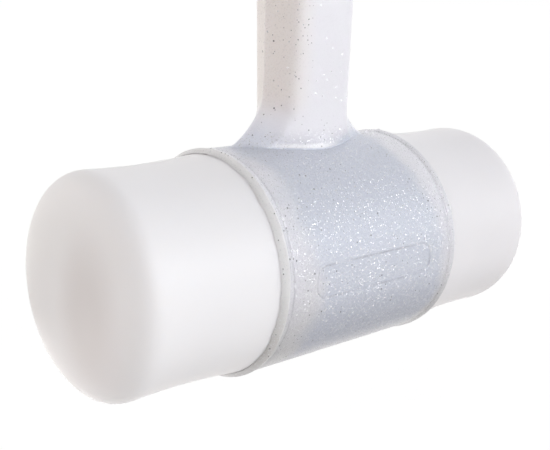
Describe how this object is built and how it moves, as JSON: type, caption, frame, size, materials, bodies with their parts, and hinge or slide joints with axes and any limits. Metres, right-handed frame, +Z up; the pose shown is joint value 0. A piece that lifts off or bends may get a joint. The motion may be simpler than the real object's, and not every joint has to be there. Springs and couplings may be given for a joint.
{
  "type": "dead-blow mallet",
  "caption": "Soft-faced dead-blow mallet: white tips on a steel shot canister, with a translucent glitter collar and handle cast round them in one piece.",
  "frame": {"origin": "on the ground under the centre of the head, where the collar's lips touch it with the handle upright; let go, the mallet rolls over and lies down", "axes": "+Z up the handle, +X along the head from the left tip to the right tip, -Y the front"},
  "size_m": [0.1744, 0.071, 0.36],
  "materials": {
    "cast_urethane": "satin",
    "tip_urethane": "satin",
    "canister_steel": "satin",
    "shot_steel": "satin",
    "spacer_plastic": "satin"
  },
  "bodies": {
    "mallet": {"cast_body": "cast_urethane", "striking_tip_left": "tip_urethane", "striking_tip_right": "tip_urethane", "canister_tube": "canister_steel", "canister_cap_left": "canister_steel", "canister_cap_right": "canister_steel", "rod_saddle": "canister_steel", "handle_rod": "canister_steel", "rod_spacer_lower": "spacer_plastic", "rod_spacer_middle": "spacer_plastic", "rod_spacer_upper": "spacer_plastic"},
    "shot": {"shot_charge": "shot_steel"}
  },
  "joints": [
    {"name": "shot_slide", "type": "slide", "parent": "mallet", "child": "shot", "axis": [1, 0, 0], "range_m": [-0.0105, 0.0105]}
  ]
}
